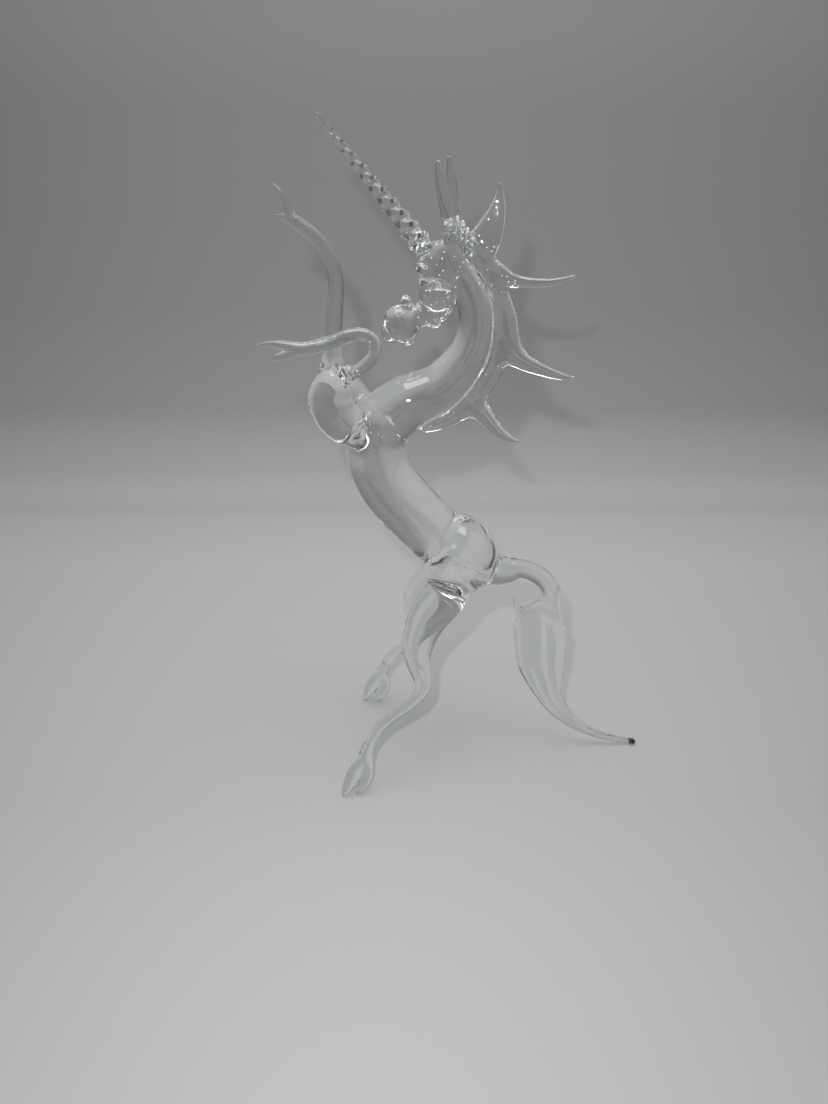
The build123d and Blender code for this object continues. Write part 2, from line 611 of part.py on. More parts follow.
# The origin is the middle of the floor under the whole figure
boxes = [piece.part.bounding_box() for piece in pieces.values()]
low_x = min(box.min.X for box in boxes)
high_x = max(box.max.X for box in boxes)
low_y = min(box.min.Y for box in boxes)
high_y = max(box.max.Y for box in boxes)
low_z = min(box.min.Z for box in boxes)
home = Location((-(low_x + high_x) / 2, -(low_y + high_y) / 2, -low_z))
for name, piece in pieces.items():
    placed = piece.part.moved(home)
    placed.label = name
    export_step(placed, f"parts/{name}.step")
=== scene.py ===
import bmesh
import bpy
import math
import numpy as np
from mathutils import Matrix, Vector
from mathutils.bvhtree import BVHTree


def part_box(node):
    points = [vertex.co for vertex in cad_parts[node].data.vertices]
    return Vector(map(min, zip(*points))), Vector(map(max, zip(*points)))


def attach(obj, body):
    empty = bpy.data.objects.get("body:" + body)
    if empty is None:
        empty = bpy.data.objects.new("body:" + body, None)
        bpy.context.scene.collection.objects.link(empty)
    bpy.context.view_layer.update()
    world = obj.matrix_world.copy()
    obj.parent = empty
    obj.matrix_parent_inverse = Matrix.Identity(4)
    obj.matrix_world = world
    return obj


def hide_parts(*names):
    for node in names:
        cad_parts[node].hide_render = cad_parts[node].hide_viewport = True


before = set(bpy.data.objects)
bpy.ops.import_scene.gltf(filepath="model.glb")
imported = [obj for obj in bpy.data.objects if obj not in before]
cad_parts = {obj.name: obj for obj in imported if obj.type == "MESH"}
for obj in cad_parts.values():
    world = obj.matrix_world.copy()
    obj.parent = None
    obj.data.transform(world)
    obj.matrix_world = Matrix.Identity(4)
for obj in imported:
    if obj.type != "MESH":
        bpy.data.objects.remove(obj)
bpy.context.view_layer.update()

# A rearing unicorn of solid clear glass. Every gather below is drawn in the photograph's own millimetres:
# X to the right, Y away from the camera, Z up from the floor. A row of a spine is X, Y, Z, the glass's
# depth in the side view and its width across it. A bead is its middle, its diameter and its height.
MM = 0.001
RUMP_MIDDLE = (14.0, 0.0, 71.2)
RUMP_DIAMETER = 22.6
RUMP_HEIGHT = 25.2
RUMP_LATITUDES = range(-80, 81, 10)

BODY = (
    (14.0, 0, 71.2, 17.0, 17.0), (6.8, 0, 77.9, 17.5, 17.5), (0.1, 0, 84.9, 17.8, 17.5),
    (-6.7, 0, 93.2, 17.7, 17.4), (-10.2, 0, 99.9, 17.4, 17.4), (-10.9, 0, 104.6, 17.3, 17.4),
    (-10.3, 0, 109.9, 17.1, 17.3), (-7.6, 0, 114.0, 16.9, 17.0), (-2.1, 0, 118.5, 15.5, 15.8),
    (2.9, 0, 120.8, 14.0, 14.5), (7.3, 0, 123.0, 13.1, 13.5), (11.2, 0, 126.8, 12.2, 12.5),
    (14.5, 0, 131.3, 11.0, 11.3), (16.4, 0, 136.6, 10.0, 10.3), (16.7, 0, 142.2, 9.4, 9.6),
    (15.7, 0, 146.5, 9.1, 9.2), (13.5, 0, 150.8, 8.7, 8.8), (10.8, 0, 154.1, 8.4, 8.4),
    (8.8, 0, 157.0, 7.8, 7.8))
HEAD = (
    (11.2, 0, 160.2, 5.4, 5.0), (9.2, 0, 157.6, 10.2, 8.4), (7.4, 0, 154.0, 11.0, 8.8),
    (6.6, 0, 150.0, 10.6, 8.4), (6.2, 0, 146.2, 9.6, 7.5), (5.8, 0, 143.2, 7.6, 6.2),
    (5.2, 0, 141.2, 5.0, 4.2))
MUZZLE = (
    (5.6, 0, 143.4, 5.6, 4.8), (2.6, 0, 142.8, 6.0, 5.4), (0.5, 0, 142.0, 6.4, 5.8),
    (-1.8, 0, 141.0, 9.4, 7.6), (-3.8, 0, 139.9, 10.6, 8.4), (-5.6, 0, 138.7, 8.4, 7.0),
    (-6.8, 0, 137.9, 4.8, 4.2))
CHIN = ((-1.6, 0, 136.2), 3.8, 4.2)
NOSTRIL = ((-2.0, 1.8, 145.7), 2.9, 4.2)
NOSTRIL_LEAN = -20
EYE = ((1.9, 3.1, 154.6), 3.2, 3.4)
CHEEK = ((6.2, 3.3, 148.0), 7.8, 8.0)
EAR_LEFT = (
    (9.6, -2.2, 158.4, 3.0, 1.8), (9.2, -3.1, 162.4, 3.4, 1.7), (8.6, -4.1, 166.5, 3.3, 1.5),
    (7.5, -5.0, 171.1, 3.1, 1.3), (6.4, -5.9, 175.7, 2.6, 1.1), (5.7, -6.5, 179.6, 1.2, 0.9))
EAR_RIGHT = (
    (10.4, 2.2, 158.4, 3.0, 1.8), (10.3, 3.1, 162.0, 3.3, 1.7), (10.2, 4.0, 165.8, 3.3, 1.5),
    (10.0, 5.0, 171.0, 3.1, 1.3), (9.6, 5.9, 176.0, 2.5, 1.1), (9.1, 6.5, 180.6, 1.2, 0.9))
HORN_ROOT = (5.9, 0.0, 155.7)
HORN_LEAN = 49.3
HORN_LENGTH = 45.4
HORN_DIAMETERS = (7.2, 1.3)
HORN_STATIONS = (0.0, 0.25, 0.5, 0.75, 1.0)
HORN_TURNS = 5.0
HORN_STRANDS = 2
HORN_GROOVE = 0.27
HORN_SMOOTH_FROM = 0.80
# The forelock's ribs: the first one's foot, the step to the next, each one's top, their depth and width.
# A station of a rib is how far it leans back, its share of the height and its shares of depth and width.
# The tip's second number is how far below the top it lies.
RIB_FIRST = (8.4, 158.0)
RIB_STEP = 1.3
RIB_TOPS = (166.6, 167.1, 167.4, 166.3, 164.6, 162.6)
RIB_SIZES = (1.9, 5.2)
RIB_STATIONS = ((0.0, 0.0, 1.0, 1.0), (0.1, 0.45, 1.0, 1.0), (0.2, 0.8, 0.8, 0.8))
RIB_TIP = (0.2, 0.5, 0.5, 0.4)
STRIP = (
    (2.4, 0, 112.6, 6.0, 2.2), (6.0, 0, 114.2, 8.0, 2.6), (10.6, 0, 117.3, 10.0, 2.8),
    (15.2, 0, 121.9, 11.0, 2.8), (18.9, 0, 128.3, 11.0, 2.7), (21.1, 0, 135.4, 10.6, 2.6),
    (21.5, 0, 142.3, 10.2, 2.6), (20.2, 0, 147.9, 9.6, 2.6), (17.4, 0, 153.0, 8.6, 2.6),
    (14.2, 0, 156.8, 6.8, 2.4))
LOCK_1 = (
    (13.4, 0, 155.2, 7.8, 2.6), (16.7, 0, 158.9, 8.8, 2.7), (20.1, 0, 165.0, 6.6, 2.4),
    (21.6, 0, 170.5, 3.1, 1.8), (21.7, 0, 174.6, 1.0, 0.9))
LOCK_2 = (
    (14.2, 0, 156.8, 8.6, 2.7), (20.5, 0, 153.5, 6.8, 2.6), (26.7, 0, 151.2, 3.4, 2.2),
    (33.3, 0, 150.7, 2.4, 1.8), (38.6, 0, 151.2, 1.8, 1.3), (42.4, 0, 152.5, 0.8, 0.8))
LOCK_3 = (
    (18.6, 0, 144.6, 12.4, 2.7), (20.6, 0, 141.4, 13.4, 2.8), (24.8, 0, 134.5, 9.4, 2.6),
    (29.7, 0, 130.2, 4.9, 2.3), (36.2, 0, 127.4, 3.2, 1.8), (41.0, 0, 125.9, 1.9, 1.3),
    (44.0, 0, 125.6, 0.8, 0.8))
LOCK_4 = (
    (12.0, 0, 120.6, 9.5, 2.6), (14.6, 0, 119.0, 10.6, 2.7), (18.6, 0, 116.2, 5.8, 2.4),
    (22.4, 0, 112.0, 3.9, 2.0), (26.6, 0, 108.5, 2.3, 1.5), (30.0, 0, 107.1, 0.8, 0.8))
SHOULDER_LEFT = (
    (-10.4, -2.2, 109.1, 8.8, 8.8), (-15.8, -6.3, 112.5, 10.7, 10.7), (-20.9, -8.9, 117.2, 11.9, 11.9),
    (-22.4, -10.0, 121.9, 12.2, 12.2), (-21.6, -10.5, 125.5, 10.6, 10.6), (-19.9, -10.9, 128.4, 7.4, 7.4),
    (-19.3, -11.0, 129.2, 5.6, 5.6))
FORELEG_LEFT = (
    (-20.2, -10.9, 127.0, 4.6, 4.6), (-18.8, -11.1, 129.0, 4.6, 4.6), (-16.0, -11.5, 129.6, 3.8, 3.8),
    (-12.3, -12.0, 131.9, 3.6, 3.8), (-10.1, -12.5, 135.7, 3.0, 3.4), (-11.0, -12.8, 138.8, 3.1, 3.3),
    (-14.3, -13.0, 139.8, 3.3, 3.4), (-17.7, -13.2, 139.1, 3.6, 3.6), (-22.0, -13.5, 137.6, 3.6, 3.6),
    (-26.7, -14.0, 136.5, 3.3, 3.4), (-29.4, -14.0, 136.2, 3.1, 3.4))
FORE_HOOF_LEFT = (
    ((-28.2, -14, 136.4, 2.6, 3.0), (-32.8, -14, 137.1, 2.4, 2.9), (-36.9, -14, 137.5, 1.5, 1.9),
     (-40.2, -14, 137.1, 0.6, 0.7)),
    ((-28.8, -14, 136.1, 2.5, 2.9), (-32.4, -14, 134.9, 2.3, 2.7), (-34.8, -14, 134.2, 2.0, 2.3),
     (-36.7, -14, 133.5, 0.9, 1.0)))
SHOULDER_RIGHT = (
    (-10.4, 2.2, 109.1, 8.8, 8.8), (-14.4, 6.4, 113.6, 10.6, 10.6), (-19.4, 9.2, 118.1, 12.0, 12.0),
    (-23.1, 10.0, 123.8, 9.4, 9.4), (-23.5, 10.0, 127.0, 6.8, 6.8), (-23.4, 10.0, 129.6, 5.2, 5.2))
FORELEG_RIGHT = (
    (-23.4, 10, 124.6, 5.2, 5.2), (-23.2, 10, 132.6, 4.8, 4.8), (-22.4, 10, 140.1, 4.7, 4.7),
    (-21.7, 10, 146.3, 4.4, 4.4), (-21.8, 10, 152.4, 4.1, 4.1), (-23.9, 10, 157.3, 4.1, 4.1),
    (-26.7, 10, 161.1, 4.1, 4.1), (-30.1, 10, 163.9, 3.9, 3.9), (-32.3, 10, 165.3, 3.3, 3.5))
FORE_HOOF_RIGHT = (
    ((-31.4, 10, 164.8, 2.8, 3.2), (-33.2, 10, 167.6, 2.6, 2.9), (-35.1, 10, 172.3, 1.4, 1.9),
     (-37.2, 10, 174.4, 0.6, 0.7)),
    ((-31.2, 10, 164.7, 2.6, 3.0), (-33.2, 10, 165.8, 2.5, 2.9), (-35.2, 10, 166.4, 1.8, 2.2),
     (-36.8, 10, 166.6, 0.9, 1.0)))
HIND_LEG_LEFT = (
    (13.0, -3.5, 67.0, 9.0, 9.0), (10.0, -7.0, 62.2, 13.4, 13.4), (4.2, -10.0, 54.9, 12.1, 12.1),
    (1.2, -13.0, 47.2, 9.7, 9.7), (1.5, -15.0, 41.3, 7.0, 7.0), (2.6, -17.0, 35.2, 4.8, 4.8),
    (-0.3, -18.0, 29.9, 3.8, 3.8), (-5.8, -19.5, 26.4, 3.4, 3.5), (-11.1, -21.0, 21.7, 3.4, 3.4),
    (-14.6, -22.9, 15.4, 3.3, 3.3))
# The row of the leg that is its hock
HOCK = 5
HIND_HOOF_LEFT = (
    ((-14.0, -22.6, 16.6, 3.0, 3.2), (-16.1, -23.6, 12.4, 4.2, 4.6), (-18.9, -24.6, 7.2, 4.3, 4.8),
     (-21.3, -25.6, 2.0, 2.4, 2.8), (-22.0, -25.8, 0.4, 1.0, 1.2)),
    ((-14.2, -22.7, 15.8, 2.8, 3.0), (-14.7, -23.4, 11.4, 3.9, 4.4), (-15.0, -24.0, 6.8, 4.2, 4.6),
     (-16.8, -24.6, 2.2, 2.8, 3.2), (-17.6, -24.9, 0.6, 1.2, 1.4)))
# How far each shin reaches in front of the hock: the right one reaches less far
LEFT_SHIN_REACH = 17.5
RIGHT_SHIN_REACH = 13.8
TAIL_ROOT = (
    (20.0, 0, 66.8, 8.4, 8.4), (24.4, 0, 66.2, 9.6, 8.4), (27.5, 0, 66.1, 9.0, 7.4),
    (30.4, 0, 66.4, 7.3, 6.3), (33.2, 0, 66.5, 5.9, 5.7), (37.3, 0, 65.0, 5.6, 5.6),
    (41.1, 0, 61.9, 5.6, 5.5), (42.9, 0, 58.0, 5.2, 5.0), (43.0, 0, 56.0, 4.4, 4.2))
TAIL_PLUME = (
    (43.1, 0, 58.4, 4.6, 4.4), (43.0, 0, 55.6, 5.6, 4.6), (41.9, 0, 52.6, 10.4, 4.4),
    (40.4, 0, 49.2, 15.4, 4.2), (40.0, 0, 45.6, 16.8, 4.2), (40.5, 0, 41.1, 16.7, 4.2),
    (41.2, 0, 33.6, 15.6, 4.0), (43.0, 0, 25.9, 11.8, 3.6), (45.4, 0, 19.2, 8.0, 3.2),
    (49.9, 0, 12.8, 5.4, 2.8), (56.7, 0, 7.2, 3.6, 2.3), (64.9, 0, 3.3, 2.4, 1.9), (73.2, 0, 1.4, 1.7, 1.6))
TAIL_BARB = (
    (34.9, 0, 45.0, 4.6, 2.6), (33.8, 0, 49.4, 3.9, 2.4), (32.4, 0, 53.2, 2.2, 1.6),
    (31.5, 0, 56.0, 0.8, 0.8))
TAIL_BEAD = ((74.1, 0, 1.15), 2.5, 2.3)

# A row of ridges is their height as a share, how close they stand, how they drift along the glass, and
# where the first one starts
PLUME_RIDGES = ((0.13, 7.5, 3.0, 0.0), (0.05, 14.0, -4.0, 1.0))
PLUME_RIDGES_FROM = 0.1
PLUME_RIDGES_FADE = 0.25
COMB_RIDGES = ((0.08, 9.0, 2.0, 0.0),)

# How finely each kind of gather is drawn: the points round a ring, and the step from ring to ring
FINENESS = {
    "rump": (88, 0.5), "body_and_neck": (84, 0.55), "head": (64, 0.35), "muzzle": (56, 0.3),
    "ear": (36, 0.35), "horn": (48, 0.25), "forelock": (32, 0.3), "mane_strip": (64, 0.45),
    "mane_lock": (56, 0.35), "shoulder": (64, 0.45), "foreleg": (40, 0.35), "long_foreleg": (40, 0.4),
    "fore_hoof": (32, 0.25), "hind_leg": (56, 0.45), "hind_hoof": (36, 0.3), "tail_root": (48, 0.4),
    "tail_plume": (88, 0.35), "tail_barb": (32, 0.3)}
FEWEST_STEPS = 8
CAP_RINGS = 7
# A bead's stations are shares of its reach, which leaves room for the blunt caps. Its steps are counted
# along its diameter and its points round a ring.
BEAD_STATIONS = (-0.9, -0.6, -0.3, 0.0, 0.3, 0.6, 0.9)
BEAD_CAPS = 0.2
BEAD_BLUNTNESS = 0.35
BEAD_STEPS = 24
BEAD_POINTS = 40
CHEEK_POINTS = 56
TAIL_BEAD_POINTS = 32
# A shorter normal than this counts as none
NO_LENGTH = 1e-12

# How far the molten glass of each kind of gather flows out at its welds
MELT = {
    "rump": 1.1, "body_and_neck": 1.0, "head": 0.6, "muzzle": 0.45, "chin": 0.25, "nostril": 0.22,
    "eye": 0.2, "cheek": 0.3, "ear": 0.3, "horn": 0.35, "forelock": 0.1, "mane_strip": 0.6,
    "mane_lock": 0.45, "shoulder": 0.8, "foreleg": 0.45, "fore_hoof": 0.25, "hind_leg": 1.0,
    "hind_hoof": 0.3, "tail_root": 0.7, "tail_plume": 0.4, "tail_bead": 0.2}
# A weld's reach and its greatest flow are so many times the melt
WELD_REACH = 5.0
WELD_FLOW = 2.2
WELD_STEPS = 4
# Limits that keep the search for the seam steady
STRONGEST_PULL = 30.0
GENTLEST_SLOPE = 0.35
# How far a point counts as being from a weld where no neighbour is near
FAR_AWAY = 10.0


def curve_through(stations, values, wanted):
    """A natural cubic spline through the values at the stations."""
    gaps = np.diff(stations)
    slopes = np.diff(values, axis=0) / gaps[:, None]
    count = len(stations)
    system = np.eye(count)
    bends = np.zeros((count, values.shape[1]))
    for i in range(1, count - 1):
        system[i, i - 1:i + 2] = gaps[i - 1], 2 * (gaps[i - 1] + gaps[i]), gaps[i]
        bends[i] = 6 * (slopes[i] - slopes[i - 1])
    bends = np.linalg.solve(system, bends)
    at = np.clip(np.searchsorted(stations, wanted) - 1, 0, count - 2)
    left = (wanted - stations[at])[:, None]
    right = (stations[at + 1] - wanted)[:, None]
    gap = gaps[at][:, None]
    return ((bends[at] * right ** 3 + bends[at + 1] * left ** 3) / (6 * gap)
            + (values[at] / gap - bends[at] * gap / 6) * right
            + (values[at + 1] / gap - bends[at + 1] * gap / 6) * left)


def sizes_through(stations, values, wanted):
    """Sizes between the stations that never overshoot them."""
    gaps = np.diff(stations)[:, None]
    slopes = np.diff(values, axis=0) / gaps
    leans = np.zeros_like(values)
    before, after = slopes[:-1], slopes[1:]
    same_way = before * after > 0
    safe = np.where(same_way, before + after, 1.0)
    leans[1:-1] = np.where(same_way, 2 * before * after / safe, 0.0)
    leans[0], leans[-1] = slopes[0], slopes[-1]
    at = np.clip(np.searchsorted(stations, wanted) - 1, 0, len(stations) - 2)
    share = ((wanted - stations[at]) / gaps[at, 0])[:, None]
    gap = gaps[at]
    return ((2 * share ** 3 - 3 * share ** 2 + 1) * values[at]
            + (share ** 3 - 2 * share ** 2 + share) * gap * leans[at]
            + (3 * share ** 2 - 2 * share ** 3) * values[at + 1]
            + (share ** 3 - share ** 2) * gap * leans[at + 1])


def ring_faces(rings, around):
    """The faces of a closed skin: rings of points, and a pole at each end after them."""
    first_pole, last_pole = rings * around, rings * around + 1
    last_ring = (rings - 1) * around
    faces = []
    for start in range(0, last_ring, around):
        for i in range(around):
            j = (i + 1) % around
            faces.append((start + i, start + j, start + around + j, start + around + i))
    for i in range(around):
        j = (i + 1) % around
        faces.append((first_pole, j, i))
        faces.append((last_pole, last_ring + i, last_ring + j))
    return faces


def drawn_skin(rows, around, step, shape=None, blunt=1.0):
    """Glass drawn along a spine as rings of points, with round ends: (points, faces)."""
    rows = np.array(rows, float)
    legs = np.linalg.norm(np.diff(rows[:, :3], axis=0), axis=1)
    stations = np.concatenate(([0.0], np.cumsum(legs)))
    wanted = np.linspace(0, stations[-1], max(FEWEST_STEPS, int(stations[-1] / step)) + 1)
    centres = curve_through(stations, rows[:, :3], wanted)
    halves = sizes_through(stations, rows[:, 3:] / 2, wanted)
    ways = np.gradient(centres, wanted, axis=0)
    ways /= np.linalg.norm(ways, axis=1)[:, None]
    shares = wanted / stations[-1]
    turns = np.arange(1, CAP_RINGS) / CAP_RINGS * math.pi / 2
    start_cap = halves[0].min() * blunt
    end_cap = halves[-1].min() * blunt
    centres = np.vstack((centres[0] - ways[0] * start_cap * np.sin(turns[::-1, None]), centres,
                         centres[-1] + ways[-1] * end_cap * np.sin(turns[:, None])))
    halves = np.vstack((halves[0] * np.cos(turns[::-1, None]), halves, halves[-1] * np.cos(turns[:, None])))
    ends = np.ones((CAP_RINGS - 1, 1))
    ways = np.vstack((ends * ways[0], ways, ends * ways[-1]))
    shares = np.concatenate((np.zeros(CAP_RINGS - 1), shares, np.ones(CAP_RINGS - 1)))
    across = np.array((0.0, 1.0, 0.0)) - ways * ways[:, 1:2]
    across /= np.linalg.norm(across, axis=1)[:, None]
    down = np.cross(ways, across)
    angles = np.arange(around) / around * 2 * math.pi
    rounds = np.ones((len(centres), around))
    flats = np.ones((len(centres), around))
    if shape is not None:
        rounds, flats = shape(shares[:, None], angles[None, :])
    points = (centres[:, None, :]
              + down[:, None, :] * (halves[:, None, :1] * (np.cos(angles)[None, :] * rounds)[:, :, None])
              + across[:, None, :] * (halves[:, None, 1:] * (np.sin(angles)[None, :] * flats)[:, :, None]))
    first_pole = centres[CAP_RINGS - 1] - ways[0] * start_cap
    last_pole = centres[-CAP_RINGS] + ways[-1] * end_cap
    return np.vstack((points.reshape(-1, 3), first_pole, last_pole)), ring_faces(len(centres), around)


def bead(middle, diameter, height, side=1, lean=0.0, around=BEAD_POINTS):
    """A melted ball, as tall as its height: (points, faces)."""
    x, y, z = middle
    reach = (height - diameter * BEAD_CAPS) / 2
    tilt = Vector((math.sin(math.radians(lean)), 0.0, math.cos(math.radians(lean))))
    rows = []
    for share in BEAD_STATIONS:
        size = diameter * math.sqrt(1 - share * share)
        rows.append((x + tilt.x * reach * share, side * y, z + tilt.z * reach * share, size, size))
    return drawn_skin(rows, around, diameter / BEAD_STEPS, blunt=BEAD_BLUNTNESS)


def rump_ball():
    """The ball of the rump, drawn by latitude, with caps that close it: (points, faces)."""
    x, y, z = RUMP_MIDDLE
    rows = []
    for degrees in RUMP_LATITUDES:
        size = RUMP_DIAMETER * math.cos(math.radians(degrees))
        rows.append((x, y, z + RUMP_HEIGHT / 2 * math.sin(math.radians(degrees)), size, size))
    last = math.radians(RUMP_LATITUDES[-1])
    bluntness = RUMP_HEIGHT / RUMP_DIAMETER * (1 - math.sin(last)) / math.cos(last)
    around, step = FINENESS["rump"]
    return drawn_skin(rows, around, step, blunt=bluntness)


def horn_rows():
    """The horn's straight spine, from its root up to the point."""
    lean = math.radians(HORN_LEAN)
    x, y, z = HORN_ROOT
    root, point = HORN_DIAMETERS
    rows = []
    for share in HORN_STATIONS:
        size = root + (point - root) * share
        rows.append((x - math.cos(lean) * HORN_LENGTH * share, y, z + math.sin(lean) * HORN_LENGTH * share,
                     size, size))
    return rows


def rib_rows(number, top):
    """One rib of the forelock, which stands up between the ears."""
    x, foot = RIB_FIRST
    x += RIB_STEP * number
    depth, width = RIB_SIZES
    rows = []
    for back, rise, depth_share, width_share in RIB_STATIONS:
        rows.append((x + back, 0, foot + (top - foot) * rise, depth * depth_share, width * width_share))
    back, below, depth_share, width_share = RIB_TIP
    rows.append((x + back, 0, top - below, depth * depth_share, width * width_share))
    return rows


def mirrored(rows):
    """The rows of the other side's gather."""
    return tuple((x, -y, z, depth, width) for x, y, z, depth, width in rows)


def moved(rows, shift):
    """The rows moved along X."""
    return tuple((x + shift, y, z, depth, width) for x, y, z, depth, width in rows)


def moved_back(rows, hock_x, share):
    """Rows whose reach in front of the hock is a share of what it was."""
    return tuple((hock_x + (x - hock_x) * share if x < hock_x else x, y, z, depth, width)
                 for x, y, z, depth, width in rows)


def rope(shares, angles):
    """Strands twisted round each other, melted smooth towards the point."""
    turned = angles - 2 * math.pi * HORN_TURNS * shares / HORN_SMOOTH_FROM
    fade = np.sqrt(np.clip((1 - shares) / (1 - HORN_SMOOTH_FROM), 0, 1))
    dip = 1 - HORN_GROOVE * fade * (1 - np.cos(HORN_STRANDS * turned)) / 2
    return dip, dip


def ridged(shares, angles, ridges):
    """How far the ridges stand out on the flat sides of the glass."""
    place = np.cos(angles)
    waves = sum(height * np.cos(place * closeness + shares * drift + start)
                for height, closeness, drift, start in ridges)
    return waves * (1 - place ** 2) ** 2


def rippled(shares, angles):
    """The ridges that run down the plume."""
    fade = np.clip((shares - PLUME_RIDGES_FROM) / PLUME_RIDGES_FADE, 0, 1)
    ridges = fade * ridged(shares, angles, PLUME_RIDGES)
    return np.ones_like(ridges), 1 + ridges


def combed(shares, angles):
    """Fine lines along the strip and the locks."""
    ridges = ridged(shares, angles, COMB_RIDGES)
    return np.ones_like(ridges), 1 + ridges


def outward(points, faces):
    """The faces, all turned outward."""
    volume = 0.0
    for face in faces:
        a, b, c = points[face[0]], points[face[1]], points[face[2]]
        volume += np.dot(a, np.cross(b, c))
        if len(face) == 4:
            volume += np.dot(a, np.cross(c, points[face[3]]))
    return faces if volume > 0 else [tuple(reversed(face)) for face in faces]


def normals_of(points, faces):
    """A normal at each point, as the mean of its faces'."""
    quads = np.array([face if len(face) == 4 else face + face[2:3] for face in faces])
    a, b, c, d = (points[quads[:, i]] for i in range(4))
    facing = np.cross(c - a, d - b)
    flat = np.linalg.norm(facing, axis=1) < NO_LENGTH
    facing[flat] = np.cross(b[flat] - a[flat], c[flat] - a[flat])
    totals = np.zeros_like(points)
    for i in range(4):
        np.add.at(totals, quads[:, i], facing)
    return totals / np.maximum(np.linalg.norm(totals, axis=1), NO_LENGTH)[:, None]


def kind_of(piece):
    """A piece's name without its side or its number."""
    return piece.removesuffix("_left").removesuffix("_right").rstrip("_1234")


gathers = []


def gather(piece, skin):
    """Keeps a closed skin of glass as part of a piece."""
    points, faces = skin
    faces = outward(points, faces)
    gathers.append({
        "piece": piece, "points": points, "faces": faces, "normals": normals_of(points, faces),
        "melt": MELT[kind_of(piece)], "tree": BVHTree.FromPolygons(points.tolist(), faces),
        "low": points.min(axis=0), "high": points.max(axis=0)})


def draw(piece, rows, shape=None, fineness=None):
    """Draws a gather along its rows, as finely as its kind asks."""
    around, step = FINENESS[fineness or kind_of(piece)]
    gather(piece, drawn_skin(rows, around, step, shape))


# The gathers, from the rump up to the forelock, then the mane, the legs and the tail
gather("rump", rump_ball())
draw("body_and_neck", BODY)
draw("head", HEAD)
draw("muzzle", MUZZLE)
gather("chin", bead(*CHIN))
for side, hand in ((-1, "left"), (1, "right")):
    gather(f"nostril_{hand}", bead(*NOSTRIL, side=side, lean=NOSTRIL_LEAN))
    gather(f"eye_{hand}", bead(*EYE, side=side))
    gather(f"cheek_{hand}", bead(*CHEEK, side=side, around=CHEEK_POINTS))
draw("ear_left", EAR_LEFT)
draw("ear_right", EAR_RIGHT)
draw("horn", horn_rows(), rope)
for number, top in enumerate(RIB_TOPS):
    draw("forelock", rib_rows(number, top))
draw("mane_strip", STRIP, combed)
for number, rows in enumerate((LOCK_1, LOCK_2, LOCK_3, LOCK_4), start=1):
    draw(f"mane_lock_{number}", rows, combed)
draw("shoulder_left", SHOULDER_LEFT)
draw("shoulder_right", SHOULDER_RIGHT)
draw("foreleg_left", FORELEG_LEFT)
draw("foreleg_right", FORELEG_RIGHT, fineness="long_foreleg")
for toe in FORE_HOOF_LEFT:
    draw("fore_hoof_left", toe)
for toe in FORE_HOOF_RIGHT:
    draw("fore_hoof_right", toe)

hock_x = HIND_LEG_LEFT[HOCK][0]
right_leg = mirrored(HIND_LEG_LEFT[:HOCK]) + moved_back(mirrored(HIND_LEG_LEFT[HOCK:]), hock_x,
                                                        RIGHT_SHIN_REACH / LEFT_SHIN_REACH)
toe_shift = right_leg[-1][0] - HIND_LEG_LEFT[-1][0]
draw("hind_leg_left", HIND_LEG_LEFT)
draw("hind_leg_right", right_leg)
for toe in HIND_HOOF_LEFT:
    draw("hind_hoof_left", toe)
    draw("hind_hoof_right", moved(mirrored(toe), toe_shift))
draw("tail_root", TAIL_ROOT)
draw("tail_plume", TAIL_PLUME, rippled)
draw("tail_plume", TAIL_BARB, fineness="tail_barb")
gather("tail_bead", bead(*TAIL_BEAD, around=TAIL_BEAD_POINTS))


def flow_out(start, way, others):
    """How far a point flows out along its way, and how far it then is from being inside a neighbour."""
    most = WELD_FLOW * max(melt for tree, melt in others)
    out = 0.0
    for step in range(WELD_STEPS):
        place = start + way * out
        total, slope, gap = out, 1.0, FAR_AWAY
        for tree, melt in others:
            spot, facing, _, distance = tree.find_nearest(place)
            depth = distance if (place - spot).dot(facing) > 0 else -distance
            pull = min(STRONGEST_PULL, (out - depth) / melt)
            total -= melt * math.log1p(math.exp(pull))
            slope -= (1 - way.dot(facing)) / (1 + math.exp(-pull))
            gap = min(gap, depth - out)
        if step < WELD_STEPS - 1:
            out = min(most, max(0.0, out - total / max(GENTLEST_SLOPE, slope)))
    return out, gap


def weld(skin):
    """Lets a gather's skin flow into its neighbours' as molten glass does, up to the seam that they share
    and down to the floor at most. Each point then knows how far it is from being inside a neighbour."""
    points, normals = skin["points"], skin["normals"]
    flow = np.zeros(len(points))
    free = np.full(len(points), FAR_AWAY)
    neighbours = {}
    for other in gathers:
        if other is skin:
            continue
        melt = min(skin["melt"], other["melt"])
        reach = WELD_REACH * melt
        near = ((points > other["low"] - reach) & (points < other["high"] + reach)).all(axis=1)
        for i in np.nonzero(near)[0]:
            neighbours.setdefault(i, []).append((other["tree"], melt))
    for i, others in neighbours.items():
        flow[i], free[i] = flow_out(Vector(points[i]), Vector(normals[i]), others)
    molten = points + normals * flow[:, None]
    molten[:, 2] = np.maximum(molten[:, 2], 0.0)
    skin["molten"], skin["free"] = molten, free


def joined(skins):
    """Skins, each of points and faces, as one: (points, faces)."""
    all_points, all_faces = [], []
    first = 0
    for points, faces in skins:
        all_points.append(points)
        all_faces += [tuple(first + i for i in face) for face in faces]
        first += len(points)
    return np.vstack(all_points), all_faces


# The molten skins by piece, and the place of the figure in the part's frame
pieces = {}
for skin in gathers:
    weld(skin)
    pieces.setdefault(skin["piece"], []).append(skin)
rump_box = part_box("rump")
home = (rump_box[0] + rump_box[1]) / 2 - Vector(RUMP_MIDDLE) * MM


def placed(place):
    """A place in the photograph's millimetres, in the part's frame."""
    return Vector(place) * MM + home


